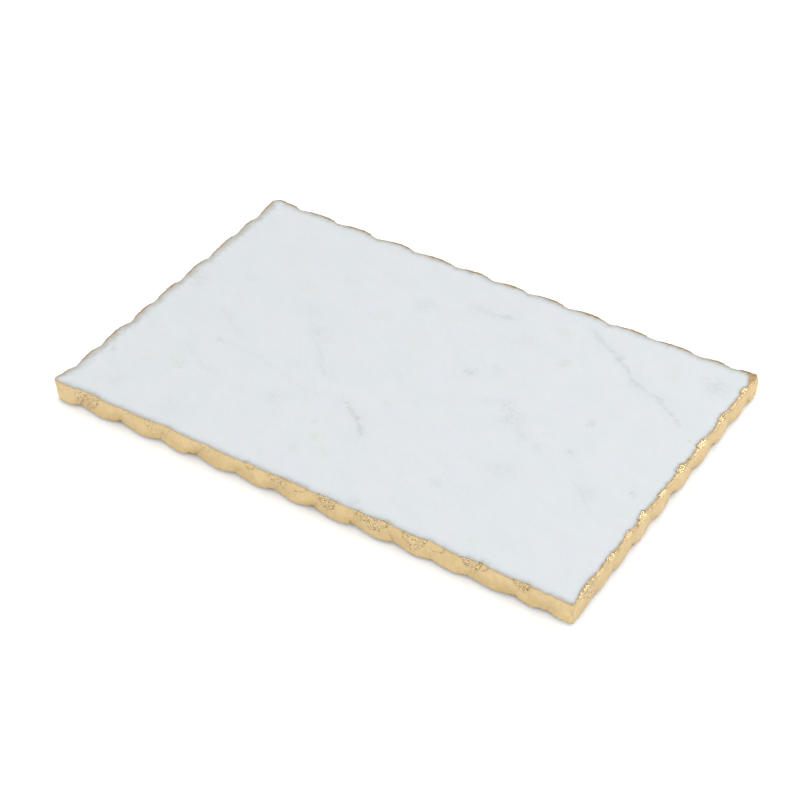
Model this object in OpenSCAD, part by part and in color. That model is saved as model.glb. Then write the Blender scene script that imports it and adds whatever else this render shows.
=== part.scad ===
// Vanity tray: a flat marble slab with hand-chipped edges finished in gold leaf, on four rubber feet.
// Frame: origin at the bottom centre, under the feet; X along the length, Y along the width, +Z up.

/* [Slab] */
// Length over the gilded edges
tray_l = 305; // [240:1:400]
// Width over the gilded edges
tray_w = 200; // [160:1:300]
// Thickness of the marble
slab_t = 12; // [9:0.5:20]
// Radius of the four corners in plan
corner_r = 2; // [1.5:0.5:8]

/* [Chipped edge] */
// How far the polished face's rim lies inside the widest part of the edge
top_batter = 0.2; // [0.1:0.1:1.2]
// How much further in the polished rim is broken away on the front, right, back and left sides
rim_break = [0, 0.5, 0.4, 0.9]; // [0:0.1:1.5]
// How far the underside's rim lies inside the widest part of the edge
low_batter = 0.3; // [0:0.1:1]
// Share of the space between two grooves over which a groove runs out on its steep flank
steep_reach = 0.35; // [0.2:0.05:0.6]
// The same share on its gentle flank
gentle_reach = 0.6; // [0.3:0.05:1]
// Sharpness of a groove: 1 is a plain V, more makes the bottom sharper
groove_power = 1.3; // [1:0.1:3]

/* [Gold leaf] */
// Thickness of the gilding, with the size and gesso under it
leaf_t = 0.3; // [0.2:0.05:0.6]

/* [Feet] */
// Diameter of each rubber foot
foot_d = 12; // [8:0.5:20]
// Height of the rubber alone
foot_h = 1.8; // [1:0.1:5]
// Radius rolled round the foot's lower rim
foot_round = 0.6; // [0.2:0.1:1]
// Diameter of the adhesive disc above each foot
tape_d = 10.5; // [6:0.5:18]
// Thickness of the adhesive disc
tape_t = 0.2; // [0.1:0.05:0.5]
// Distance from the tray's long and short edges to a foot's centre
foot_inset = 24; // [14:1:45]

/* [Hidden] */
$fn = 96;

// Heights of the stack, from the surface that the tray stands on
slab_z = foot_h + tape_t;

// The marble's own plan, inside the gilding
stone_l = tray_l - 2 * leaf_t;
stone_w = tray_w - 2 * leaf_t;

// The length and width at which the groove lists below are drawn; they stretch with the tray
drawn_l = 305;
drawn_w = 200;

// Grooves, in order along each side as one walks round the tray anticlockwise seen from above.
// Each is [place at the underside, depth there, place at the polished face, depth there], and
// places are measured from the middle of the side in the direction of that walk.
front_grooves = [[-137, 2.5, -131, 1.1], [-111, 2.8, -106, 0.3], [-86, 2.7, -81, 1.2],
                 [-64, 3.1, -55, 0.5], [-39, 2.4, -33, 0.3], [-15, 2.5, -9, 0.5], [7, 2.2, 16, 0.4],
                 [32, 2.3, 33, 0.4], [54, 2.4, 49, 1.3], [75, 1.8, 75, 1.1], [95, 1.7, 102, 1.1],
                 [119, 1.8, 127, 0.8], [138, 1.7, 141, 0.2]];
right_grooves = [[-78, 0.8, -82, 0.8], [-60, 0.8, -62, 0.4], [-40, 1.2, -43, 0.5], [-18, 1.5, -25, 0.9],
                 [4, 2.1, -4, 0.5], [27, 1.4, 15, 0.9], [48, 1.4, 38, 0.5], [69, 1.4, 60, 0.9],
                 [87, 0.8, 86, 0.7]];
back_grooves = [[-135, 1.4, -137, 1.3], [-116, 1.6, -118, 1.8], [-93, 1.4, -92, 1.4],
                [-65, 1.8, -66, 2.2], [-42, 1.4, -41, 1.8], [-19, 1.6, -17, 1.7], [4, 1.5, 5, 1.8],
                [31, 1.8, 29, 1.9], [54, 1.7, 56, 2.0], [79, 1.9, 82, 2.5], [104, 1.6, 107, 2.0],
                [131, 1.6, 133, 1.9]];
left_grooves = [[-76, 1.2, -77, 1.2], [-60, 1.0, -58, 1.0], [-33, 1.5, -30, 1.6], [-8, 1.4, -5, 1.6],
                [15, 1.2, 18, 1.3], [36, 1.5, 39, 1.7], [62, 1.1, 64, 1.2], [83, 1.3, 85, 1.4]];

// Each side is [groove list, side length, half the plan across it, stretch of the groove places,
// reach of a groove towards the next, reach towards the one before, further break of the polished rim]
sides = [[front_grooves, stone_l, stone_w / 2, tray_l / drawn_l, gentle_reach, steep_reach, rim_break[0]],
         [right_grooves, stone_w, stone_l / 2, tray_w / drawn_w, steep_reach, gentle_reach, rim_break[1]],
         [back_grooves, stone_l, stone_w / 2, tray_l / drawn_l, steep_reach, gentle_reach, rim_break[2]],
         [left_grooves, stone_w, stone_l / 2, tray_w / drawn_w, steep_reach, gentle_reach, rim_break[3]]];

// Levels of the edge, as shares of the slab's thickness, from the underside to the polished face
levels = [0, 0.15, 0.5, 0.85, 1];
// Stations between one groove and the next, as shares of the space between them
steps = [0, 0.06, 0.15, 0.27, 0.42, 0.58, 0.73, 0.85, 0.94];
// Distance from a corner over which a side's further break grows to its full size
break_run = 8;
// Angles between stations round half a corner
corner_steps = 2;

function mix(a, b, t) = a + (b - a) * t;
function flat(lists) = [for (list = lists) each list];

// Splits four-sided faces into triangles, so that stone and gilding share the same creases
function halves(quads) = flat([for (q = quads) [[q[0], q[1], q[2]], [q[0], q[2], q[3]]]]);

// How far the edge lies inside its widest part at a level, apart from the grooves
function batter(v) = v < 0.5 ? low_batter * pow(1 - v / 0.5, 2) : top_batter * pow((v - 0.5) / 0.5, 2);

// How far a side's further break adds to that at a level and a distance from the nearest corner
function broken(side, v, gap) = side[6] * pow(max(0, v - 0.5) / 0.5, 2) * min(1, gap / break_run);

// How much of a groove's depth is left at a share t of the way to its neighbour
function runout(t, reach) = pow(max(0, 1 - t / reach), groove_power);

// A side's stops at a level: its two corners, with no depth, and its grooves between them, as [place, depth]
function stops(side, v) =
    let (end = side[1] / 2 - corner_r)
    concat([[-end, 0]],
           [for (g = side[0]) [mix(g[0], g[2], v) * side[3], mix(g[1], g[3], v)]],
           [[end, 0]]);

// One straight station at place x: the edge, cut in by a depth and pushed out from the stone by "out"
function station(side, v, out, x, depth) =
    let (gap = side[1] / 2 - corner_r - abs(x))
    [x, -side[2] + batter(v) + broken(side, v, gap) + depth - out];

// A side's straight stations at a level
function straight(side, v, out) =
    let (stop = stops(side, v), last = len(stop) - 1)
    concat([for (i = [0 : last - 1], t = steps)
                station(side, v, out, mix(stop[i][0], stop[i + 1][0], t),
                        stop[i][1] * runout(t, side[4]) + stop[i + 1][1] * runout(1 - t, side[5]))],
           [station(side, v, out, stop[last][0], 0)]);

// A corner's stations at a level and the angles given, about a centre at x
function half_corner(side, v, out, x, angles) =
    [for (a = angles) [x, -side[2] + corner_r] + (corner_r - batter(v) + out) * [cos(a), sin(a)]];

// All stations of side k at a level, from the middle of one corner to the middle of the next
function side_ring(k, v, out) =
    let (side = sides[k], x = side[1] / 2 - corner_r, turn = 45 / corner_steps,
         before = [for (i = [0 : corner_steps - 1]) -135 + i * turn],
         after = [for (i = [1 : corner_steps]) -90 + i * turn])
    [for (p = concat(half_corner(side, v, out, -x, before), straight(side, v, out),
                     half_corner(side, v, out, x, after)))
        [p[0] * cos(90 * k) - p[1] * sin(90 * k), p[0] * sin(90 * k) + p[1] * cos(90 * k)]];

// A level of one side as 3-D points
function lift(ring, v) = [for (p = ring) [p[0], p[1], slab_z + slab_t * v]];

// The whole edge at a level: the four sides without the station that each shares with the next
function whole_ring(v) =
    flat([for (k = [0 : 3]) let (ring = side_ring(k, v, 0)) [for (i = [0 : len(ring) - 2]) ring[i]]]);

// The stone is closed by a rectangle of points set in from the edge, and a point at its middle,
// so that both faces are flat fans of well-shaped triangles.
face_margin = 9;
function pull_in(ring) =
    let (x = stone_l / 2 - face_margin, y = stone_w / 2 - face_margin)
    [for (p = ring) [max(-x, min(x, p[0])), max(-y, min(y, p[1]))]];

module marble_slab() {
    rings = [for (v = levels) lift(whole_ring(v), v)];
    n = len(rings[0]);
    top = len(levels) - 1;
    low_inner = lift(pull_in(whole_ring(0)), 0);
    top_inner = lift(pull_in(whole_ring(1)), 1);
    points = concat(flat(rings), low_inner, top_inner,
                    [[0, 0, slab_z], [0, 0, slab_z + slab_t]]);
    low_start = n * (top + 1);
    top_start = low_start + n;
    low_middle = top_start + n;
    top_middle = low_middle + 1;
    walls = [for (j = [0 : top - 1], i = [0 : n - 1])
                let (k = (i + 1) % n) [j * n + i, (j + 1) * n + i, (j + 1) * n + k, j * n + k]];
    low_band = [for (i = [0 : n - 1]) let (k = (i + 1) % n) [i, k, low_start + k, low_start + i]];
    top_band = [for (i = [0 : n - 1])
                   let (k = (i + 1) % n) [top * n + k, top * n + i, top_start + i, top_start + k]];
    low_fan = [for (i = [0 : n - 1]) [low_start + i, low_start + (i + 1) % n, low_middle]];
    top_fan = [for (i = [0 : n - 1]) [top_start + (i + 1) % n, top_start + i, top_middle]];
    color("whitesmoke")
        polyhedron(points, concat(halves(concat(walls, low_band, top_band)), low_fan, top_fan));
}

// One side's gilding: a skin of even thickness over the chipped edge, mitred at the corners
module gilding(k) {
    inner = [for (v = levels) lift(side_ring(k, v, 0), v)];
    outer = [for (v = levels) lift(side_ring(k, v, leaf_t), v)];
    n = len(inner[0]);
    top = len(levels) - 1;
    skin = n * (top + 1);
    outside = [for (j = [0 : top - 1], i = [0 : n - 2])
                  [skin + j * n + i, skin + (j + 1) * n + i, skin + (j + 1) * n + i + 1, skin + j * n + i + 1]];
    inside = [for (j = [0 : top - 1], i = [0 : n - 2])
                 [j * n + i, j * n + i + 1, (j + 1) * n + i + 1, (j + 1) * n + i]];
    low_rim = [for (i = [0 : n - 2]) [i, skin + i, skin + i + 1, i + 1]];
    top_rim = [for (i = [0 : n - 2])
                  [top * n + i, top * n + i + 1, skin + top * n + i + 1, skin + top * n + i]];
    start = [for (j = [0 : top - 1]) [j * n, (j + 1) * n, skin + (j + 1) * n, skin + j * n]];
    finish = [for (j = [0 : top - 1])
                 [j * n + n - 1, skin + j * n + n - 1, skin + (j + 1) * n + n - 1, (j + 1) * n + n - 1]];
    color("goldenrod")
        polyhedron(concat(flat(inner), flat(outer)),
                   halves(concat(outside, inside, low_rim, top_rim, start, finish)));
}
module gilding_front() { gilding(0); }
module gilding_right() { gilding(1); }
module gilding_back() { gilding(2); }
module gilding_left() { gilding(3); }

// Puts what is drawn at the centre on the corner given by two signs
module at_foot(side_x, side_y) {
    translate([side_x * (tray_l / 2 - foot_inset), side_y * (tray_w / 2 - foot_inset), 0]) children();
}

// A turned foot: flat on top for its adhesive, flat below, with its lower rim rolled
module foot() {
    color("gainsboro")
        rotate_extrude()
            union() {
                square([foot_d / 2 - foot_round, foot_h]);
                translate([0, foot_round]) square([foot_d / 2, foot_h - foot_round]);
                translate([foot_d / 2 - foot_round, foot_round]) circle(foot_round);
            }
}
module foot_front_left() { at_foot(-1, -1) foot(); }
module foot_front_right() { at_foot(1, -1) foot(); }
module foot_back_right() { at_foot(1, 1) foot(); }
module foot_back_left() { at_foot(-1, 1) foot(); }

module adhesive() {
    color("lightgray") translate([0, 0, foot_h]) cylinder(d = tape_d, h = tape_t);
}
module adhesive_front_left() { at_foot(-1, -1) adhesive(); }
module adhesive_front_right() { at_foot(1, -1) adhesive(); }
module adhesive_back_right() { at_foot(1, 1) adhesive(); }
module adhesive_back_left() { at_foot(-1, 1) adhesive(); }

marble_slab();
gilding_front();
gilding_right();
gilding_back();
gilding_left();
foot_front_left();
foot_front_right();
foot_back_right();
foot_back_left();
adhesive_front_left();
adhesive_front_right();
adhesive_back_right();
adhesive_back_left();
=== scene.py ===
"""Looks for the marble vanity tray: chipped, gold-leafed edges, a veined white slab and its rubber feet.

Lengths are in metres, as in the frame. Noise sizes and material patterns are in millimetres, and MM turns one
into the other. The edge is a field of depths: how far the surface lies inside the tray's rectangle, for every
station round the tray and every level from the underside to the polished face. The frame gives the field's
large shape, and fractures, chips and waviness are added to it here."""

import math
import random

import bmesh
import bpy
import numpy as np
from mathutils import Matrix, Vector, geometry, noise
from mathutils.bvhtree import BVHTree


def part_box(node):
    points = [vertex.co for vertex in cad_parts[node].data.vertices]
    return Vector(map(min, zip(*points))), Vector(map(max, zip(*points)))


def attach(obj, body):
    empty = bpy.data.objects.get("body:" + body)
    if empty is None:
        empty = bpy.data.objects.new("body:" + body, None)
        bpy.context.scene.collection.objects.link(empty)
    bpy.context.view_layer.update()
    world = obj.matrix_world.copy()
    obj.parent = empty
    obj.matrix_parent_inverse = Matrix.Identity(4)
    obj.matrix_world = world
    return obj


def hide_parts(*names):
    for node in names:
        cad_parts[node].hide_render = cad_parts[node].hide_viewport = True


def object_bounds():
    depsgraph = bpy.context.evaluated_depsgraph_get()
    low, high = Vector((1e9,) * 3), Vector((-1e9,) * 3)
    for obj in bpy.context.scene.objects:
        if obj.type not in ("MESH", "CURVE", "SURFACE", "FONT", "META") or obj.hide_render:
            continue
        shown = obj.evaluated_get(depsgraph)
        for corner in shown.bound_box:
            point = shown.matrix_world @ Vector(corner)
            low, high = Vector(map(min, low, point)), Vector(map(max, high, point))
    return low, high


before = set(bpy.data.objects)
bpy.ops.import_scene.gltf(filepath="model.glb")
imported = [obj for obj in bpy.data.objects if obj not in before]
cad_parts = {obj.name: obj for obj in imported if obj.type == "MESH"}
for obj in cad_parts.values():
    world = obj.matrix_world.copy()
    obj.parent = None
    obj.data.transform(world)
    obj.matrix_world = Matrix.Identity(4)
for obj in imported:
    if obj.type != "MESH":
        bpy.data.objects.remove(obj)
cad_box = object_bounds()

MM = 0.001
SIDES = ("front", "right", "back", "left")
FEET = ("front_left", "front_right", "back_right", "back_left")
SEED = 7
# The noise library would otherwise seed itself from the clock, and the torn stone would differ each time
noise.seed_set(SEED)

# Measures of the frame
tray_low, tray_high = cad_box
slab_low, slab_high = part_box("marble_slab")
HALF_X, HALF_Y = (tray_high.x - tray_low.x) / 2, (tray_high.y - tray_low.y) / 2
UNDER, TOP = slab_low.z, slab_high.z
THICK = TOP - UNDER
LEAF = tray_high.x - slab_high.x

# The outline that depths are measured from has small corners. The way in from it leans over by degrees along
# the last stretch of a side, as far as the corner's diagonal
CORNER, TURN = 1.2 * MM, 10 * MM

# How finely the edge is drawn
STATION = 0.0003
LEVELS = 36

# The camera, fitted to the tray's edges: its bearing, height above the horizon, tilt, place and lens
CAMERA_AZIMUTH, CAMERA_ELEVATION, CAMERA_TILT = 32.211, 39.284, 0.293
CAMERA_PLACE = (0.4430, -0.7098, 0.6832)
CAMERA_LENS, CAMERA_SENSOR = 93.67, 36.0


def camera():
    """The camera that the scene is seen through."""
    azimuth, elevation = math.radians(CAMERA_AZIMUTH), math.radians(CAMERA_ELEVATION)
    back = Vector((math.sin(azimuth) * math.cos(elevation), -math.cos(azimuth) * math.cos(elevation),
                   math.sin(elevation)))
    level = (-back).cross(Vector((0, 0, 1))).normalized()
    axes = Matrix((level, back.cross(level), back)).transposed()
    data = bpy.data.cameras.new("camera")
    data.lens, data.sensor_width = CAMERA_LENS, CAMERA_SENSOR
    data.clip_start, data.clip_end = 0.01, 50
    shooter = bpy.data.objects.new("camera", data)
    shooter.location = CAMERA_PLACE
    shooter.rotation_mode = "QUATERNION"
    shooter.rotation_quaternion = (axes @ Matrix.Rotation(math.radians(CAMERA_TILT), 3, "Z")).to_quaternion()
    bpy.context.scene.collection.objects.link(shooter)
    bpy.context.scene.camera = shooter


# ---------------------------------------------------------------- meshes

def new_object(name, points, faces, sharp_degrees=None):
    """A smooth-shaded mesh object; edges that bend more than sharp_degrees stay sharp."""
    mesh = bpy.data.meshes.new(name)
    mesh.from_pydata([tuple(p) for p in points], [], [tuple(f) for f in faces])
    mesh.update()
    mesh.polygons.foreach_set("use_smooth", [True] * len(mesh.polygons))
    if sharp_degrees is not None:
        mesh.set_sharp_from_angle(angle=math.radians(sharp_degrees))
    made = bpy.data.objects.new(name, mesh)
    bpy.context.scene.collection.objects.link(made)
    return made


def set_attribute(made, name, values):
    """One number for each vertex, which a material reads by name."""
    attribute = made.data.attributes.new(name, "FLOAT", "POINT")
    attribute.data.foreach_set("value", np.asarray(values, np.float32))


def merge_close(made, distance):
    """Joins vertices that lie on each other and drops the faces that this leaves without area."""
    work = bmesh.new()
    work.from_mesh(made.data)
    bmesh.ops.remove_doubles(work, verts=work.verts, dist=distance)
    bmesh.ops.dissolve_degenerate(work, edges=work.edges, dist=distance / 10)
    work.to_mesh(made.data)
    work.free()


# ---------------------------------------------------------------- the edge as a field of depths

def smooth_step(low, high, x):
    t = np.clip((x - low) / (high - low), 0, 1)
    return t * t * (3 - 2 * t)


def walk(k):
    """Stations along side k, from the middle of one corner to the middle of the next: points on the tray's
    rounded rectangle, the way in from each, and their places along the side from its middle."""
    half, across = (HALF_X, HALF_Y) if k % 2 == 0 else (HALF_Y, HALF_X)
    straight = half - CORNER
    arc_steps = max(4, round(CORNER * math.pi / 4 / STATION))
    side_steps = round(2 * straight / STATION)
    before = np.radians(np.linspace(-135, -90, arc_steps, endpoint=False))
    after = np.radians(np.linspace(-90, -45, arc_steps + 1))[1:]
    angles = np.concatenate([before, np.full(side_steps + 1, -math.pi / 2), after])
    centres = np.concatenate([np.full(arc_steps, -straight), np.linspace(-straight, straight, side_steps + 1),
                              np.full(arc_steps, straight)])
    outwards = np.stack([np.cos(angles), np.sin(angles)], 1)
    point = np.stack([centres, np.full_like(centres, CORNER - across)], 1) + CORNER * outwards
    along = point[:, 0]
    lean = math.pi / 4 * (1 - smooth_step(0, TURN, np.abs(along[0]) - np.abs(along)))
    inwards = np.stack([-np.sign(along) * np.sin(lean), np.cos(lean)], 1)
    turn = math.radians(90 * k)
    turned = np.array([[math.cos(turn), math.sin(turn)], [-math.sin(turn), math.cos(turn)]])
    return point @ turned, inwards @ turned, along


def whole_walk():
    """The four sides' stations joined, without the station that each shares with the next."""
    walks = [walk(k) for k in range(4)]
    counts = [len(w[0]) - 1 for w in walks]
    starts = [sum(counts[:k]) for k in range(4)]
    side = np.repeat(np.arange(4), counts)
    point, inwards, along = (np.concatenate([w[i][:-1] for w in walks]) for i in range(3))
    run = np.concatenate([[0], np.cumsum(np.linalg.norm(np.diff(point, axis=0), axis=1))])
    return point, inwards, along, side, run, starts, counts


POINT, INWARDS, ALONG, SIDE, RUN, STARTS, COUNTS = whole_walk()
GIRTH = RUN[-1] + np.linalg.norm(POINT[0] - POINT[-1])
# Shares of the thickness, closer together near the polished face
SHARE = 1 - (1 - np.linspace(0, 1, LEVELS)) ** 1.25
HEIGHT = UNDER + SHARE * THICK
# Every point of the edge in millimetres, for noise
EDGE_MM = np.concatenate([np.repeat(POINT[:, None, :], LEVELS, 1),
                          np.broadcast_to(HEIGHT[None, :, None], (len(POINT), LEVELS, 1))], 2) / MM


def frame_depths():
    """The depths of the frame's own gilding, found by rays shot inwards at each station and level."""
    points, faces = [], []
    for name in SIDES:
        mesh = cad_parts["gilding_" + name].data
        faces += [[i + len(points) for i in f.vertices] for f in mesh.polygons]
        points += [v.co.copy() for v in mesh.vertices]
    tree = BVHTree.FromPolygons(points, faces)
    stand_off, inside = 0.01, 0.02 * MM
    depths = np.zeros((len(POINT), LEVELS))
    for i, (point, inwards) in enumerate(zip(POINT, INWARDS)):
        start, ray = point - inwards * stand_off, Vector((inwards[0], inwards[1], 0))
        for j, z in enumerate(np.clip(HEIGHT, UNDER + inside, TOP - inside)):
            distance = tree.ray_cast(Vector((start[0], start[1], z)), ray)[3]
            depths[i, j] = distance - stand_off
    return depths


def blur_along(field, sigma):
    """Gaussian blur along the walk, which closes on itself."""
    reach = max(1, round(3 * sigma / STATION))
    weights = np.exp(-0.5 * (np.arange(-reach, reach + 1) * STATION / sigma) ** 2)
    weights /= weights.sum()
    return sum(w * np.roll(field, k, axis=0) for k, w in zip(range(-reach, reach + 1), weights))


def over_edge(measure, size_mm, seed, where=None):
    """A noise over the edge, with features about size_mm across, and 0 wherever a mask is false."""
    shift = Vector((seed * 17.3, seed * 5.1, seed * 11.7))
    values = np.zeros(EDGE_MM.shape[:2])
    where = np.ones_like(values, bool) if where is None else where
    values[where] = [measure(Vector(p) + shift) for p in EDGE_MM[where] / size_mm]
    return values


def perlin(size_mm, seed, where=None):
    """Smooth noise, about -1 to 1."""
    return over_edge(noise.noise, size_mm, seed, where)


def facet(p):
    """The height of torn stone at p: a flat facet for each cell, tilted and raised its own way."""
    near = noise.voronoi(p)[1][0]
    tilt = noise.noise_vector(near * 7.3)
    return (p - near).dot(tilt) * 1.6 + noise.noise(near * 3.7 + tilt) * 0.8


def groove_places(field, share, least_mm, apart_mm):
    """Stations where the level at a share of the thickness is deepest, each deeper by least_mm than the
    least within apart_mm of it."""
    level = blur_along(field[:, [round(share * (LEVELS - 1))]], 0.6 * MM)[:, 0]
    reach, shoulder = round(apart_mm / 2 * MM / STATION), round(apart_mm * MM / STATION)
    found = []
    for i in range(len(level)):
        near = level[np.arange(i - reach, i + reach + 1) % len(level)]
        wide = level[np.arange(i - shoulder, i + shoulder + 1) % len(level)]
        if level[i] == near.max() and level[i] - wide.min() > least_mm * MM:
            found.append(i)
    return found


def round_from(i):
    """How far every station is from station i, the shorter way round the tray, with a sign."""
    return (RUN - RUN[i] + GIRTH / 2) % GIRTH - GIRTH / 2


def station_at(k, place):
    """The station on side k nearest to a place in millimetres from the side's middle."""
    on_side = np.abs(ALONG[STARTS[k]:STARTS[k] + COUNTS[k]] - place * MM)
    return STARTS[k] + int(np.argmin(on_side))


def by_side(values, blend=3 * MM):
    """One column of values, a value for each side, blended at the corners."""
    return blur_along(np.array([values[SIDES[k]] for k in SIDE])[:, None], blend)


# How far the broken arris runs in over the polished face, by side, and how far down it starts
ARRIS = {"front": 0.08 * MM, "right": 0.6 * MM, "back": 0.55 * MM, "left": 0.6 * MM}
ARRIS_HEIGHT = 2.2 * MM
# Scars where flakes have come off below the polished face, in millimetres: place along the side, how far they
# reach before and after it, drop, depth and roughness. The front and the right side are drawn one by one
FRONT_SCARS = (
    (-131, 9, 9, 11, 0.30, 0.75), (-126, 3, 4, 6, 0.25, 0.3), (-106, 4, 3, 3.6, 0.25, 0.45),
    (-85, 7, 8, 7.5, 0.35, 0.35), (-90, 3, 2, 6.5, 0.25, 0.8), (-55, 5, 3, 4.5, 0.25, 0.55),
    (-30, 2, 5, 4.0, 0.5, 0.35), (-10, 8, 4, 6.5, 0.40, 0.85), (-2, 4, 8, 4.6, 0.45, 0.08),
    (17, 7, 6, 7.5, 0.40, 1.0), (44, 11, 8, 8, 0.40, 1.0), (67, 8, 6, 9, 0.35, 0.9),
    (75, 5, 9, 5.5, 0.40, 0.12), (99, 7, 4, 6.5, 0.45, 1.0), (103, 2, 4, 4.6, 0.5, 0.1),
    (125, 5, 5, 5.2, 0.40, 1.0), (134, 2, 3, 2, 0.25, 0.3))
RIGHT_SCARS = (
    (-86, 8, 7, 9, 0.45, 0.85), (-62, 4, 4.5, 3.0, 0.9, 0.75), (-44, 3.5, 4, 2.4, 0.9, 0.7),
    (-29, 4.5, 5, 2.8, 1.1, 0.8), (-9, 3.5, 4.5, 2.4, 0.9, 0.7), (12, 4.5, 5, 3.0, 1.1, 0.8),
    (34, 4, 4.5, 2.8, 1.0, 0.7), (59, 4.5, 5, 3.0, 1.1, 0.8), (84, 4, 4.5, 2.8, 1.0, 0.7))
# On the other sides a scar of one kind lies at each groove
HIDDEN_SCAR = (5, 4, 4.5, 0.4, 0.6)
# How far a scar on each side moves along for each millimetre down, how gently it ends, and how much of its
# depth is gone at its foot
SLANT = {"front": 0.0, "right": 0.7, "back": 0.3, "left": 0.3}
GENTLE = {"front": 0.12, "right": 0.6, "back": 0.2, "left": 0.2}
TAPER = {"front": 0.2, "right": 1.0, "back": 0.5, "left": 0.5}
# The corners in walking order from the front left, in millimetres: how much sharper than the frame's, the cut
# across the corner at the foot and at the polished face, how far the second reaches down, and its roughness
CORNERS = ((0.0, 3.4, 1.6, 11.0, 0.1), (0.42, 0.9, 2.4, 1.6, 0.6), (0.3, 1.6, 1.6, 3.0, 0.3),
           (0.0, 3.6, 4.4, 9.0, 0.3))


def scar(depths, rough, i, reach, outline):
    """Breaks a scar out of the edge below the polished face at station i. Its end is more sudden on the side
    that faces along the walk. Returns the new depths and roughness."""
    before, after, drop, deep, roughness = reach
    side = SIDES[SIDE[i]]
    down = (TOP - HEIGHT)[None, :]
    along = round_from(i)[:, None] - SLANT[side] * down
    share = np.abs(along) / np.where(along > 0, after, before) / MM
    cut = 1 - share ** 2.2 - (down / drop / MM) ** 1.6 + outline
    step = smooth_step(0, np.where(along > 0, GENTLE[side], 0.35), cut)
    left = deep * MM * np.clip(1 - TAPER[side] * down / (drop * MM), 0, 1)
    return depths + left * step, np.maximum(rough, roughness * smooth_step(0, 0.1, cut))


def corner_cut(depths, rough, k, outline):
    """Sharpens the corner where side k starts, and cuts across it."""
    sharper, low, high, drop, roughness = CORNERS[k]
    here = round_from(STARTS[k])[:, None]
    depths = depths - sharper * MM * np.clip(1 - np.abs(here) / (2.4 * MM), 0, 1)
    diagonal = -INWARDS[STARTS[k]]
    tip = np.sign(diagonal) @ (np.array([HALF_X, HALF_Y]) * diagonal)
    size = low + (high - low) * np.clip(1 - (TOP - HEIGHT)[None, :] / (drop * MM), 0, 1) + 0.8 * outline
    cut = ((POINT @ diagonal - tip)[:, None] + size * MM / math.sqrt(2)) / -(INWARDS @ diagonal)[:, None]
    cut = np.where(np.abs(here) < TURN, cut, 0)
    return np.maximum(depths, cut), np.maximum(rough, roughness * (cut > depths))


def fractured():
    """The finished depths, and how rough the surface is at each point, from 0 on the smooth lobes to 1."""
    dice = random.Random(SEED)
    depths = blur_along(frame_depths(), 0.3 * MM)
    down = (TOP - HEIGHT)[None, :]
    up = (HEIGHT - UNDER)[None, :]
    rough = np.zeros_like(depths)
    ragged = perlin(3.4, 3)
    fine_ragged = perlin(1.1, 4)
    uneven = perlin(13, 5)
    outline = 0.30 * ragged + 0.12 * fine_ragged

    scars = [(station_at(0, place), reach) for place, *reach in FRONT_SCARS]
    scars += [(station_at(1, place), reach) for place, *reach in RIGHT_SCARS]
    scars += [(i, HIDDEN_SCAR) for i in groove_places(depths, 0.9, 0.15, 10) if SIDE[i] > 1]
    for i, reach in scars:
        depths, rough = scar(depths, rough, i, reach, outline)
    for k in range(4):
        depths, rough = corner_cut(depths, rough, k, outline)

    # Small bites out of the lower rim
    for i in groove_places(depths, 0.1, 0.3, 9):
        if dice.random() < 0.35:
            continue
        half_width, rise = dice.uniform(1.0, 2.6) * MM, dice.uniform(1.2, 3.5) * MM
        place = (i + round(dice.uniform(-5, 5) * MM / STATION)) % len(POINT)
        away = np.sqrt((round_from(place)[:, None] / half_width) ** 2 + (up / rise) ** 2) + 0.3 * fine_ragged
        bite = smooth_step(1.0, 0.75, away)
        depths += 0.4 * MM * bite
        rough = np.maximum(rough, 0.6 * bite)

    # The arris where the edge meets the polished face is broken away unevenly
    unevenness = 0.4 * ragged[:, [-1]] + 0.3 * fine_ragged[:, [-1]] + 0.9 * uneven[:, [-1]]
    width = by_side(ARRIS) * (1 + unevenness)
    width += 0.12 * MM * np.clip(fine_ragged[:, [-1]], 0, None)
    bevel = np.clip(1 - down / ARRIS_HEIGHT, 0, 1) ** 1.2
    depths += np.clip(width, 0.05 * MM, None) * bevel
    rough = np.maximum(rough, np.clip(width / MM, 0, 0.45) * smooth_step(0, 0.4, bevel))

    # Waviness everywhere, and torn facets where the stone is broken
    torn = rough > 0.02
    depths += (0.09 * perlin(7, 6) + 0.05 * perlin(2.4, 7)) * MM
    depths += (0.36 * over_edge(facet, 1.9, 8, torn) + 0.25 * over_edge(facet, 0.8, 9, torn)) * MM * rough
    return np.maximum(depths, 0), rough


DEPTH, ROUGH = fractured()


def edge_points(depths, columns):
    """Points of the edge at the given depths: a row for each station in columns, a column for each level."""
    flat = POINT[columns, None, :] + INWARDS[columns, None, :] * depths[:, :, None]
    z = np.broadcast_to(HEIGHT[None, :, None], flat.shape[:2] + (1,))
    return np.concatenate([flat, z], 2)


def inset(depths, columns, z):
    """A ring of points at one height, at the given depths inside the tray's rectangle."""
    flat = POINT[columns] + INWARDS[columns] * depths[:, None]
    return np.concatenate([flat, np.full((len(flat), 1), z)], 1)


# ---------------------------------------------------------------- materials

def material(name):
    """A new material, its node tree and its shader."""
    made = bpy.data.materials.new(name)
    made.use_nodes = True
    shader = made.node_tree.nodes["Principled BSDF"]
    return made, made.node_tree, shader


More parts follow.
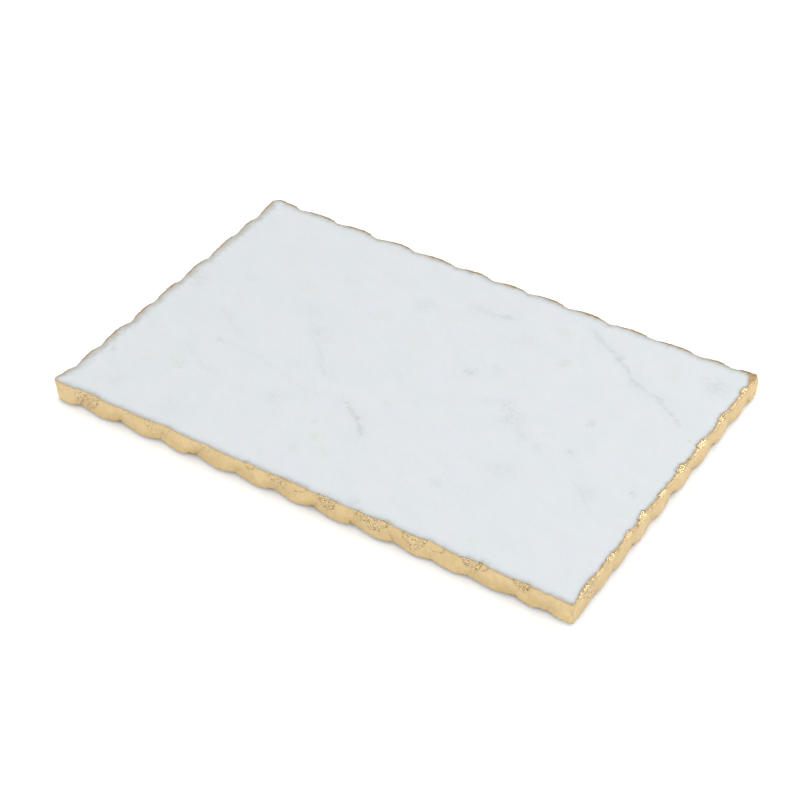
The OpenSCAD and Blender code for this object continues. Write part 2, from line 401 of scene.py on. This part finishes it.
class Nodes:
    """Short ways to add the nodes that the materials share. Patterns work in millimetres."""

    def __init__(self, tree):
        self.tree = tree
        where = self.add("ShaderNodeTexCoord")
        scale = self.add("ShaderNodeVectorMath", operation="SCALE")
        scale.inputs["Scale"].default_value = 1 / MM
        self.link(where.outputs["Object"], scale.inputs[0])
        self.mm = scale.outputs["Vector"]

    def add(self, kind, **settings):
        node = self.tree.nodes.new(kind)
        for key, value in settings.items():
            setattr(node, key, value)
        return node

    def link(self, source, target):
        self.tree.links.new(source, target)

    def put(self, socket, value):
        """Links an output to a socket, or sets the socket to a number or colour."""
        if isinstance(value, bpy.types.NodeSocket):
            self.link(value, socket)
        else:
            socket.default_value = value

    def math(self, operation, a, b=0.0, clamp=False):
        node = self.add("ShaderNodeMath", operation=operation, use_clamp=clamp)
        self.put(node.inputs[0], a)
        self.put(node.inputs[1], b)
        return node.outputs[0]

    def vector(self, operation, a, b=(0, 0, 0), output="Vector"):
        node = self.add("ShaderNodeVectorMath", operation=operation)
        self.put(node.inputs[0], a)
        self.put(node.inputs[1], b)
        return node.outputs[output]

    def noise(self, size, detail=3.0, roughness=0.55, at=None, distortion=0.0):
        """Noise with features about size millimetres across, centred on 0.5."""
        node = self.add("ShaderNodeTexNoise")
        self.link(at or self.mm, node.inputs["Vector"])
        node.inputs["Scale"].default_value = 1 / size
        node.inputs["Detail"].default_value = detail
        node.inputs["Roughness"].default_value = roughness
        node.inputs["Distortion"].default_value = distortion
        return node.outputs["Fac"]

    def cells(self, size):
        """Distance to the nearest of scattered points, which lie about size millimetres apart."""
        node = self.add("ShaderNodeTexVoronoi", feature="F1")
        self.link(self.mm, node.inputs["Vector"])
        node.inputs["Scale"].default_value = 1 / size
        return node.outputs["Distance"]

    def ramp(self, value, low, high, to_low=0.0, to_high=1.0, smooth=True):
        """Maps low..high to to_low..to_high and holds it beyond them."""
        node = self.add("ShaderNodeMapRange", clamp=True)
        node.interpolation_type = "SMOOTHSTEP" if smooth else "LINEAR"
        self.put(node.inputs["Value"], value)
        limits = {"From Min": low, "From Max": high, "To Min": to_low, "To Max": to_high}
        for socket, number in limits.items():
            node.inputs[socket].default_value = number
        return node.outputs["Result"]

    def mix(self, factor, a, b, blend="MIX"):
        node = self.add("ShaderNodeMix", data_type="RGBA", blend_type=blend)
        self.put(node.inputs[0], factor)
        self.put(node.inputs[6], a)
        self.put(node.inputs[7], b)
        return node.outputs[2]

    def attribute(self, name):
        node = self.add("ShaderNodeAttribute", attribute_name=name)
        return node.outputs["Fac"]

    def bump(self, shader, height, distance_mm):
        node = self.add("ShaderNodeBump")
        node.inputs["Strength"].default_value = 1.0
        node.inputs["Distance"].default_value = distance_mm * MM
        self.link(height, node.inputs["Height"])
        self.link(node.outputs["Normal"], shader.inputs["Normal"])


def gold_leaf():
    """Satin leaf laid over broken stone: fine crinkles on the lobes, torn and brighter in the fractures."""
    made, tree, shader = material("gold_leaf")
    n = Nodes(tree)
    rough, painted_shade = n.attribute("rough"), n.attribute("painted_shade")
    colour = n.mix(n.ramp(n.noise(9, 3), 0.35, 0.65), (0.670, 0.517, 0.280, 1), (0.725, 0.570, 0.325, 1))
    colour = n.mix(n.ramp(n.noise(0.8, 4, 0.6), 0.52, 0.70, 0, 0.5), colour, (0.53, 0.35, 0.15, 1))
    colour = n.mix(n.ramp(n.noise(0.6, 3, 0.6), 0.58, 0.72, 0, 0.5), colour, (0.84, 0.72, 0.46, 1))
    # The leaf is darker and browner along its two rims, at the polished face and at the underside
    height = n.add("ShaderNodeSeparateXYZ")
    n.link(n.mm, height.inputs[0])
    height = n.math("ADD", height.outputs["Z"], n.ramp(n.noise(1.5, 3), 0.3, 0.7, -0.25, 0.25))
    rim = n.math("MAXIMUM", n.ramp(height, TOP / MM - 0.55, TOP / MM - 0.1, 0, 0.55),
                 n.ramp(height, UNDER / MM + 0.1, UNDER / MM + 0.7, 0.4, 0))
    colour = n.mix(rim, colour, (0.40, 0.235, 0.095, 1))
    # Painted shade: the leaf is turned brown in its creases, on the broken arris and a little over the whole
    # right side
    colour = n.mix(n.math("MULTIPLY", painted_shade, 0.8), colour, (0.22, 0.15, 0.07, 1))
    n.link(colour, shader.inputs["Base Color"])
    shader.inputs["Metallic"].default_value = 1.0
    dull = n.ramp(n.noise(2.5, 4), 0.35, 0.7, 0.50, 0.62)
    n.link(n.math("SUBTRACT", dull, n.math("MULTIPLY", rough, 0.34)), shader.inputs["Roughness"])
    crinkle = n.math("ADD", n.math("MULTIPLY", n.noise(0.5, 5, 0.65), 0.45),
                     n.math("MULTIPLY", n.noise(1.8, 3), 0.45))
    torn = n.math("MULTIPLY", n.cells(0.9), n.math("MULTIPLY", rough, 1.1))
    n.bump(shader, n.math("ADD", crinkle, torn), 0.34)
    return made


# The marble's features, in millimetres on the polished face. A vein is a line of [x, y] points with a width
# and a strength; a cloud is [x, y, radius, strength].
VEINS = (
    ([[62, 87], [72, 80], [80, 76], [85, 73], [93, 66], [101, 59], [109, 57], [118, 53], [126, 48],
      [136, 41]], 1.7, 0.55),
    ([[-18, -33], [-9, -37], [-4, -42], [1, -47], [6, -51]], 1.6, 0.55),
    ([[-60, 1], [-50, -5], [-45, -12], [-37, -21]], 1.4, 0.26),
    ([[-115, -4], [-104, -10], [-95, -16]], 2.2, 0.2),
    ([[-103, -25], [-86, -27], [-70, -27], [-48, -35], [-28, -37]], 1.3, 0.18),
    ([[-115, -38], [-101, -45], [-89, -50]], 1.5, 0.2),
    ([[-1, 71], [10, 70], [20, 72]], 2.6, 0.35),
    ([[111, -25], [120, -32], [128, -41]], 1.4, 0.22),
    ([[-4, 0], [6, -12], [18, -16]], 1.4, 0.12),
)
GREY_CLOUDS = (
    [26, 22, 4.5, 0.85], [14, 26, 2, 0.5], [62, 0, 9, 0.6], [55, 9, 6, 0.5], [73, -8, 6, 0.4],
    [97, 18, 3.5, 0.9], [99, -6, 3, 0.6], [49, 88, 1.8, 0.8], [138, 79, 8, 0.6], [85, 73, 3, 0.8],
    [101, 59, 3, 0.7], [118, 53, 2.5, 0.45], [-4, -41, 3, 0.7], [2, -47, 3, 0.5], [83, -12, 4, 0.45],
    [37, 31, 6, 0.35], [-141, 10, 7, 0.45], [56, -62, 5, 0.4], [78, -36, 9, 0.3], [140, -17, 2.8, 0.8],
    [-61, 8, 6, 0.5], [-53, 4, 5, 0.4], [-17, -77, 4, 0.45], [120, -30, 7, 0.35], [-25, 58, 7, 0.3],
    [-142, -63, 3, 0.6], [29, -94, 4, 0.7], [63, 55, 4, 0.5], [146, 33, 2, 0.6], [35, 58, 10, 0.25],
    [-105, -54, 4, 0.5], [-20, -55, 2, 0.6], [-48, -50, 8, 0.35], [-118, 28, 5, 0.3], [-99, -26, 2, 0.5],
    [-90, -85, 8, 0.3], [-125, -82, 8, 0.3], [18, 72, 3.5, 0.5], [-72, 22, 12, 0.2], [45, 5, 5, 0.3])
OCHRE_CLOUDS = (
    [-72, 55, 7, 0.7], [-86, 38, 8, 0.45], [-116, 58, 8, 0.35], [50, 78, 5, 0.6], [63, 54, 4, 0.5],
    [-108, -54, 6, 0.5], [-122, -59, 5, 0.5], [-13, -64, 5, 0.7], [-4, -72, 6, 0.4], [3, -24, 3, 0.6],
    [-70, -53, 6, 0.5], [24, 18, 7, 0.4], [114, 77, 9, 0.4], [120, 32, 9, 0.25], [22, 85, 9, 0.35],
    [0, 66, 9, 0.3], [-8, 1, 3, 0.4], [-38, 38, 8, 0.35], [90, -88, 4, 0.5], [-139, 14, 5, 0.4],
    [-135, -35, 4, 0.4], [-12, 28, 10, 0.25])


def marble():
    """White Carrara marble: pale and cool, with faint clouds, soft veins, a warmer, darker fringe by the gold
    and painted grey shade beyond it.
    """
    made, tree, shader = material("marble")
    n = Nodes(tree)
    # The veins run through coordinates that noise has pushed about, so that they wander
    wander = n.add("ShaderNodeTexNoise")
    n.link(n.mm, wander.inputs["Vector"])
    wander.inputs["Scale"].default_value = 1 / 9
    wander.inputs["Detail"].default_value = 3
    push = n.vector("SUBTRACT", wander.outputs["Color"], (0.5, 0.5, 0.5))
    pushed = n.vector("ADD", n.mm, n.vector("MULTIPLY", push, (6, 6, 0)))
    plan = n.vector("MULTIPLY", pushed, (1, 1, 0))

    def along_line(points, width, strength):
        """Strength on the line through the points, fading to nothing over about twice its width."""
        nearest = None
        for (ax, ay), (bx, by) in zip(points, points[1:]):
            start, run = (ax, ay, 0), (bx - ax, by - ay, 0)
            length = math.hypot(bx - ax, by - ay)
            offset = n.vector("SUBTRACT", plan, start)
            share = n.math("DIVIDE", n.vector("DOT_PRODUCT", offset, run, "Value"), length ** 2, clamp=True)
            foot = n.add("ShaderNodeVectorMath", operation="SCALE")
            foot.inputs[0].default_value = run
            n.link(share, foot.inputs["Scale"])
            distance = n.vector("DISTANCE", offset, foot.outputs["Vector"], "Value")
            nearest = distance if nearest is None else n.math("MINIMUM", nearest, distance)
        core = n.ramp(nearest, 0, 1.3 * width, strength, 0)
        halo = n.ramp(nearest, 0, 5 * width, strength * 0.3, 0)
        return n.math("ADD", core, halo)

    def cloud_sum(clouds):
        total = 0.0
        for x, y, radius, strength in clouds:
            distance = n.vector("DISTANCE", plan, (x, y, 0), "Value")
            total = n.math("ADD", n.ramp(distance, 0, radius * 1.35, strength, 0), total)
        return total

    veins = 0.0
    for points, width, strength in VEINS:
        veins = n.math("ADD", along_line(points, width, strength), veins)
    broken = n.ramp(n.noise(3.0, 5, 0.7), 0.34, 0.62, 0.2, 1.3)
    mottle = n.ramp(n.noise(2.4, 5, 0.75), 0.38, 0.64, 0.1, 1.5)
    veins = n.math("MULTIPLY", veins, broken)
    grey = n.math("MULTIPLY", cloud_sum(GREY_CLOUDS), mottle)
    ochre = n.math("MULTIPLY", cloud_sum(OCHRE_CLOUDS), mottle)

    # Faint grain, drawn out along the veins' general direction
    slant = n.add("ShaderNodeVectorRotate", rotation_type="Z_AXIS")
    n.link(n.mm, slant.inputs["Vector"])
    slant.inputs["Angle"].default_value = math.radians(38)
    drawn = n.vector("MULTIPLY", slant.outputs["Vector"], (1, 1.7, 1))
    grain = n.noise(17, 6, 0.66, drawn, 0.3)
    tint = n.noise(24, 4, 0.6, drawn)
    fine_grain = n.noise(1.7, 4, 0.65)

    colour = n.mix(n.ramp(grain, 0.32, 0.68), (0.518, 0.548, 0.565, 1), (0.546, 0.572, 0.590, 1))
    colour = n.mix(n.ramp(tint, 0.36, 0.62, 0.6, 0), colour, (0.528, 0.562, 0.568, 1))
    colour = n.mix(n.ramp(tint, 0.42, 0.68, 0, 0.6), colour, (0.540, 0.552, 0.585, 1))
    colour = n.mix(n.ramp(fine_grain, 0.40, 0.72, 0, 0.22), colour, (0.455, 0.485, 0.505, 1))
    colour = n.mix(n.ramp(ochre, 0, 1, 0, 0.40, False), colour, (0.475, 0.480, 0.385, 1))
    colour = n.mix(n.ramp(grey, 0, 1, 0, 0.46, False), colour, (0.33, 0.36, 0.375, 1))
    colour = n.mix(n.ramp(veins, 0, 1.2, 0, 0.42, False), colour, (0.27, 0.31, 0.31, 1))

    # The stone is warmer and darker right beside the gold, and painted grey shade fades out over the next few
    # millimetres
    gap = n.math("ADD", n.attribute("from_gold"), n.ramp(n.noise(5, 3), 0.3, 0.7, -0.5, 0.5))
    warm_fringe = n.ramp(gap, -0.3, 2.6, 1.0, 0.0)
    colour = n.mix(warm_fringe, colour, n.mix(1.0, colour, (0.76, 0.68, 0.585, 1), "MULTIPLY"))
    # Painted shade: a grey halo next to the gold
    painted_grey_shade = n.mix(1.0, colour, (0.88, 0.89, 0.89, 1), "MULTIPLY")
    colour = n.mix(n.ramp(gap, 0.5, 5.0, 1.0, 0.0), colour, painted_grey_shade)
    n.link(colour, shader.inputs["Base Color"])
    n.link(n.ramp(n.noise(5, 4), 0.3, 0.7, 0.33, 0.42), shader.inputs["Roughness"])
    shader.inputs["IOR"].default_value = 1.49
    n.bump(shader, n.math("ADD", n.noise(0.7, 4), n.math("MULTIPLY", n.noise(12, 2), 2.0)), 0.006)
    return made


def sawn_marble():
    """The underside: the same stone with the saw's fine parallel marks."""
    made, tree, shader = material("sawn_marble")
    n = Nodes(tree)
    colour = n.mix(n.ramp(n.noise(20, 6, 0.6), 0.3, 0.7), (0.60, 0.63, 0.65, 1), (0.69, 0.71, 0.73, 1))
    colour = n.mix(n.ramp(n.noise(4, 5, 0.7), 0.5, 0.72, 0, 0.3), colour, (0.52, 0.55, 0.57, 1))
    n.link(colour, shader.inputs["Base Color"])
    n.link(n.ramp(n.noise(3, 4), 0.3, 0.7, 0.62, 0.78), shader.inputs["Roughness"])
    marks = n.add("ShaderNodeTexWave", wave_type="BANDS", bands_direction="Y")
    n.link(n.mm, marks.inputs["Vector"])
    marks.inputs["Scale"].default_value = 0.35
    marks.inputs["Distortion"].default_value = 1.2
    marks.inputs["Detail"].default_value = 3
    n.bump(shader, n.math("ADD", marks.outputs["Fac"], n.noise(0.8, 4)), 0.03)
    return made


def foot_rubber():
    """Milky moulded rubber with a faint matt texture."""
    made, tree, shader = material("foot_rubber")
    n = Nodes(tree)
    n.link(n.mix(n.ramp(n.noise(3, 3), 0.3, 0.7), (0.60, 0.61, 0.60, 1), (0.68, 0.69, 0.67, 1)),
           shader.inputs["Base Color"])
    n.link(n.ramp(n.noise(1.5, 3), 0.3, 0.7, 0.5, 0.62), shader.inputs["Roughness"])
    n.bump(shader, n.noise(0.25, 3), 0.02)
    return made


def adhesive():
    """Clear acrylic foam tape, slightly yellow, with small closed bubbles."""
    made, tree, shader = material("adhesive")
    n = Nodes(tree)
    n.link(n.mix(n.ramp(n.cells(0.5), 0.1, 0.5), (0.72, 0.72, 0.66, 1), (0.62, 0.62, 0.57, 1)),
           shader.inputs["Base Color"])
    n.link(n.ramp(n.noise(0.6, 3), 0.3, 0.7, 0.35, 0.5), shader.inputs["Roughness"])
    n.bump(shader, n.cells(0.5), 0.02)
    return made


# ---------------------------------------------------------------- pieces

# How far the leaf laps over the polished face, by side, and over the underside, and how thick it is there
LAP = {"front": 0.14 * MM, "right": 0.3 * MM, "back": 0.65 * MM, "left": 0.55 * MM}
LAP_UNDER, LAP_THICK = 0.8 * MM, 0.12 * MM
# Painted shade over the leaf's smooth lobes, by side, darkening the right side that the lamps light most, and
# how quickly the marble's warm fringe and painted grey shade fade away from the gold, by side
SIDE_SHADE = {"front": 0.0, "right": 0.13, "back": 0.0, "left": 0.0}
FADING = {"front": 1.0, "right": 1.8, "back": 0.85, "left": 0.55}


def lap_widths(base, seed):
    """An uneven lap round the whole tray."""
    uneven = base * (1 + 0.6 * perlin(2.4, seed)[:, -1] + 0.4 * perlin(0.9, seed + 1)[:, -1])
    return np.clip(uneven, 0.08 * MM, None)


def corner_patch():
    """The gilder's brush has strayed over the polished face at the back right corner."""
    from_corner = round_from(STARTS[2]) / MM
    spread = smooth_step(0, 1, 1 - np.abs(from_corner) / np.where(from_corner < 0, 13, 7))
    return 3.6 * MM * spread * (1 + 0.25 * perlin(3, 25)[:, -1])


def swelling():
    """The lap is wider on the lobes and narrower in the grooves."""
    face_edge = DEPTH[:, [-1]]
    return np.clip(1 - (face_edge - blur_along(face_edge, 8 * MM))[:, 0] / (0.9 * MM), 0.3, 1.7)


TOP_LAP = lap_widths(by_side(LAP)[:, 0] * swelling(), 21) + corner_patch()
UNDER_LAP = lap_widths(LAP_UNDER, 31)


def painted_leaf_shade():
    """Painted shade on the leaf, from 0 to 1: in creases, where it is deeper than its surroundings, on the
    broken arris, where it stands for the arris's dim reflection, and a little all over the sides that the
    table of side shade names."""
    around = blur_along(DEPTH, 0.55 * MM)
    padded = np.pad(around, ((0, 0), (2, 2)), mode="edge")
    around = sum(padded[:, k:k + LEVELS] for k in range(5)) / 5
    crease = np.clip((DEPTH - around) / (0.2 * MM) - 0.15, 0, 1)
    bevel = np.clip(1 - (TOP - HEIGHT)[None, :] / ARRIS_HEIGHT, 0, 1) ** 0.6
    # Painted shade on the broken arris, darker where the arris is wider
    arris_shade = np.clip(by_side(ARRIS) * 1.5 / MM, 0, 0.9) * bevel * np.clip(0.8 + perlin(1.3, 41), 0, 1)
    return np.maximum(crease, (arris_shade + by_side(SIDE_SHADE)) * (1 - 0.9 * ROUGH))


PAINTED_SHADE = painted_leaf_shade()


def leaf_strip(k, finish):
    """The leaf on side k: a closed skin over the edge, lapped a little over both faces."""
    columns = np.arange(STARTS[k], STARTS[k] + COUNTS[k] + 1) % len(POINT)
    outer = edge_points(DEPTH[columns], columns)
    top_lap, under_lap = DEPTH[columns, -1] + TOP_LAP[columns], DEPTH[columns, 0] + UNDER_LAP[columns]
    back_levels = range(LEVELS - 4, 2, -3)
    inner = edge_points(DEPTH[columns] + LEAF, columns)
    rows = [outer[:, j] for j in range(LEVELS)]
    rows += [inset(top_lap, columns, TOP), inset(top_lap, columns, TOP - LAP_THICK)]
    rows += [inner[:, j] for j in back_levels]
    rows += [inset(under_lap, columns, UNDER + LAP_THICK), inset(under_lap, columns, UNDER)]
    n, m = len(columns), len(rows)
    points = np.stack(rows, 1).reshape(-1, 3)
    faces = [[i * m + j, (i + 1) * m + j, (i + 1) * m + (j + 1) % m, i * m + (j + 1) % m]
             for i in range(n - 1) for j in range(m)]
    faces += [list(range(m)), [(n - 1) * m + j for j in reversed(range(m))]]
    made = new_object("leaf_" + SIDES[k], points, faces, sharp_degrees=75)
    hidden = m - LEVELS
    # Each vertex carries its roughness and its painted shade
    for name, field in (("rough", ROUGH), ("painted_shade", PAINTED_SHADE)):
        values = np.concatenate([field[columns], np.repeat(field[columns][:, -1:] * 0.5, hidden, 1)], 1)
        set_attribute(made, name, values.ravel())
    made.data.materials.append(finish)
    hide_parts("gilding_" + SIDES[k])
    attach(made, "root")


# Each face of the slab: rings of points from under the leaf to a rectangle, as [share of the way, drop below
# the flat face], which ease the stone's polished arris
FACE_MARGIN = 9 * MM
EASING = ((0.0, 0.075), (0.04, 0.06), (0.09, 0.045), (0.16, 0.028), (0.26, 0.013), (0.4, 0.004), (0.62, 0),
          (1.0, 0))
# The flat middle of a face: rectangles of points, as [distance in from the edge, spacing], coarser inwards,
# and a grid inside them
FIELD_RINGS = ((10.5 * MM, 1.2 * MM), (13.5 * MM, 3 * MM), (20 * MM, 6 * MM))
GRID_MARGIN, GRID_SPACING = 26 * MM, 8 * MM
# Border points nearer to each other than this are left out, and vertices nearer than this are joined
LEAST_STEP, JOINED = 0.01 * MM, 0.008 * MM


def rectangle(margin, spacing):
    """Points round a rectangle that lies margin inside the tray's."""
    x, y = HALF_X - margin, HALF_Y - margin
    across, up = np.linspace(-x, x, round(2 * x / spacing)), np.linspace(-y, y, round(2 * y / spacing))
    return [(u, s * y) for u in across for s in (-1, 1)] + [(s * x, v) for v in up[1:-1] for s in (-1, 1)]


def slab(top_finish, under_finish):
    """The marble, from under the leaf on its edge to its polished and sawn faces."""
    columns = np.arange(0, len(POINT), 2)
    reach = round(0.8 * MM / STATION)
    deepest = np.max([np.roll(DEPTH, k, axis=0) for k in range(-reach, reach + 1, 2)], axis=0)
    clearance = 0.02 * MM
    hidden = deepest[columns] + LEAF + clearance
    side_levels = list(range(3, LEVELS - 3, 4))
    side = edge_points(hidden, columns)
    corner_x, corner_y = HALF_X - FACE_MARGIN, HALF_Y - FACE_MARGIN
    rows, gaps = [], []
    fading = by_side(FADING)[columns, 0]

    def face_rings(depth, lap, z, sign):
        """Rings from the leaf's lap inwards, and each ring's distance from the gold in millimetres."""
        start = inset(depth + lap, columns, z)
        end = np.clip(start, (-corner_x, -corner_y, z), (corner_x, corner_y, z))
        made = []
        for share, drop in EASING:
            ring = start + (end - start) * share
            ring[:, 2] = z - sign * drop * MM
            made.append((ring, np.linalg.norm(end - start, axis=1) * share / MM * fading))
        return made

    under = face_rings(DEPTH[columns, 0], UNDER_LAP[columns], UNDER, -1)
    top = face_rings(DEPTH[columns, -1], TOP_LAP[columns], TOP, 1)
    tuck = 0.06 * MM
    for ring, gap in reversed(under):
        rows.append(ring)
        gaps.append(gap)
    rows.append(inset(DEPTH[columns, 0] + LEAF + tuck, columns, UNDER + LAP_THICK + tuck))
    rows += [side[:, j] for j in side_levels]
    rows.append(inset(DEPTH[columns, -1] + LEAF + tuck, columns, TOP - LAP_THICK - tuck))
    gaps += [np.zeros(len(columns))] * (len(side_levels) + 2)
    for ring, gap in top:
        rows.append(ring)
        gaps.append(gap)

    n, m = len(columns), len(rows)
    points = list(np.stack(rows, 1).reshape(-1, 3))
    from_gold = list(np.stack(gaps, 1).ravel())
    faces = [[i * m + j, (i + 1) % n * m + j, (i + 1) % n * m + j + 1, i * m + j + 1]
             for i in range(n) for j in range(m - 1)]
    materials = [1 if j < len(under) else 0 for i in range(n) for j in range(m - 1)]

    far = FACE_MARGIN / MM
    for z, ring_row, index in ((UNDER, 0, 1), (TOP, m - 1, 0)):
        ring = [i * m + ring_row for i in range(n)]
        kept = [i for i, a in enumerate(ring)
                if np.linalg.norm(points[a] - points[ring[i - 1]]) > LEAST_STEP]
        border = [points[ring[i]] for i in kept]
        inner = [p for margin, spacing in FIELD_RINGS for p in rectangle(margin, spacing)]
        x, y = HALF_X - GRID_MARGIN, HALF_Y - GRID_MARGIN
        inner += [(u, v) for u in np.linspace(-x, x, round(2 * x / GRID_SPACING))
                  for v in np.linspace(-y, y, round(2 * y / GRID_SPACING))]
        plan = [Vector((p[0], p[1])) for p in border] + [Vector(p) for p in inner]
        loop = [(i, (i + 1) % len(border)) for i in range(len(border))]
        placed, _, triangles, _, _, _ = geometry.delaunay_2d_cdt(plan, loop, [], 1, 1e-7)
        first = len(points)
        points += [np.array((p.x, p.y, z)) for p in placed]
        from_gold += [far] * len(placed)
        for triangle in triangles:
            a, b, c = (placed[i] for i in triangle)
            upwards = (b - a).cross(c - a) > 0
            ordered = triangle if upwards == (z == TOP) else triangle[::-1]
            faces.append([first + i for i in ordered])
            materials.append(index)

    made = new_object("slab", points, faces)
    set_attribute(made, "from_gold", from_gold)
    made.data.polygons.foreach_set("material_index", materials)
    made.data.materials.append(top_finish)
    made.data.materials.append(under_finish)
    merge_close(made, JOINED)
    made.data.set_sharp_from_angle(angle=math.radians(50))
    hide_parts("marble_slab")
    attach(made, "root")


def lathe(name, profile, centre, segments, finish):
    """A turned piece from [radius, height] points that start and end on the axis."""
    points, faces = [], []
    inner = profile[1:-1]
    for s in range(segments):
        angle = 2 * math.pi * s / segments
        points += [(centre.x + r * math.cos(angle), centre.y + r * math.sin(angle), z) for r, z in inner]
    points += [(centre.x, centre.y, profile[0][1]), (centre.x, centre.y, profile[-1][1])]
    low, high, m = len(points) - 2, len(points) - 1, len(inner)
    for s in range(segments):
        t = (s + 1) % segments
        faces += [[s * m + j, t * m + j, t * m + j + 1, s * m + j + 1] for j in range(m - 1)]
        faces += [[low, t * m, s * m], [high, s * m + m - 1, t * m + m - 1]]
    made = new_object(name, points, faces, sharp_degrees=50)
    made.data.materials.append(finish)
    return made


def foot(place, finish):
    """A moulded bumper: a rolled lower rim, a shallow dished sole with one raised ring, a slight draft."""
    low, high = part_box("foot_" + place)
    centre, radius, tall = (low + high) / 2, (high.x - low.x) / 2, high.z - low.z
    roll, dish, draft = 0.6 * MM, 0.25 * MM, 0.15 * MM
    sole = [(0, low.z + dish), (0.25 * radius, low.z + dish), (0.32 * radius, low.z + 0.2 * dish),
            (0.36 * radius, low.z + 0.2 * dish), (0.43 * radius, low.z + dish),
            (0.62 * radius, low.z + dish), (0.72 * radius, low.z + 0.15 * dish), (0.78 * radius, low.z)]
    rim = [(radius - roll + roll * math.sin(a), low.z + roll - roll * math.cos(a))
           for a in np.linspace(0, math.pi / 2, 9)]
    wall = [(radius - draft * 0.5, low.z + 0.75 * tall), (radius - draft, high.z - 0.15 * MM),
            (radius - draft - 0.15 * MM, high.z), (0.5 * radius, high.z), (0, high.z)]
    made = lathe("pad_" + place, sole + rim + wall, centre, 96, finish)
    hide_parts("foot_" + place)
    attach(made, "root")


def tape(place, finish):
    """A die-cut disc of adhesive with its edge slightly squeezed out."""
    low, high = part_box("adhesive_" + place)
    centre, radius, tall = (low + high) / 2, (high.x - low.x) / 2, high.z - low.z
    bulge = [(radius - 0.06 * MM * (1 - math.sin(a)), low.z + tall * a / math.pi)
             for a in np.linspace(0, math.pi, 7)]
    made = lathe("tape_" + place, [(0, low.z)] + bulge + [(0, high.z)], centre, 96, finish)
    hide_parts("adhesive_" + place)
    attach(made, "root")


# ---------------------------------------------------------------- the studio

def floor():
    """A plain white sweep, which the light brings up to pure white."""
    size = 6.0
    made = new_object("floor", [(-size, -size, 0), (size, -size, 0), (size, size, 0), (-size, size, 0)],
                      [[0, 1, 2, 3]])
    finish, _, shader = material("floor")
    shader.inputs["Base Color"].default_value = (0.955, 0.97, 0.99, 1)
    shader.inputs["Roughness"].default_value = 0.9
    shader.inputs["Specular IOR Level"].default_value = 0.1
    made.data.materials.append(finish)


def softbox(name, towards, distance, size, power):
    """A square area light that shines on the tray from the direction given."""
    data = bpy.data.lights.new(name, "AREA")
    data.shape, data.size, data.energy = "SQUARE", size, power
    lamp = bpy.data.objects.new(name, data)
    direction = Vector(towards).normalized()
    lamp.location = direction * distance
    lamp.rotation_mode = "QUATERNION"
    lamp.rotation_quaternion = (-direction).to_track_quat("-Z", "Y")
    bpy.context.scene.collection.objects.link(lamp)


def sky():
    """White surroundings, brighter overhead than at the horizon."""
    world = bpy.data.worlds.new("studio")
    world.use_nodes = True
    tree = world.node_tree
    where = tree.nodes.new("ShaderNodeTexCoord")
    split = tree.nodes.new("ShaderNodeSeparateXYZ")
    tree.links.new(where.outputs["Generated"], split.inputs[0])
    climb = tree.nodes.new("ShaderNodeMapRange")
    climb.interpolation_type = "SMOOTHSTEP"
    tree.links.new(split.outputs["Z"], climb.inputs["Value"])
    for socket, number in (("From Min", 0.1), ("From Max", 0.8), ("To Min", 0.62), ("To Max", 1.4)):
        climb.inputs[socket].default_value = number
    tree.links.new(climb.outputs["Result"], tree.nodes["Background"].inputs["Strength"])
    tree.nodes["Background"].inputs["Color"].default_value = (1, 1, 1, 1)
    bpy.context.scene.world = world


def studio():
    """The light: white surroundings and three soft lamps."""
    sky()
    softbox("window", (0.62, 0.25, 0.85), 0.75, 0.5, 0.72)
    softbox("key", (0.75, 0.65, 0.18), 1.3, 0.10, 3.0)
    softbox("fill", (-0.20, -0.80, 0.50), 1.3, 0.18, 1.7)
    bpy.context.scene.view_settings.view_transform = "Standard"


camera()
leaf = gold_leaf()
for side_index in range(4):
    leaf_strip(side_index, leaf)
slab(marble(), sawn_marble())
rubber, glue = foot_rubber(), adhesive()
for corner in FEET:
    foot(corner, rubber)
    tape(corner, glue)
floor()
studio()
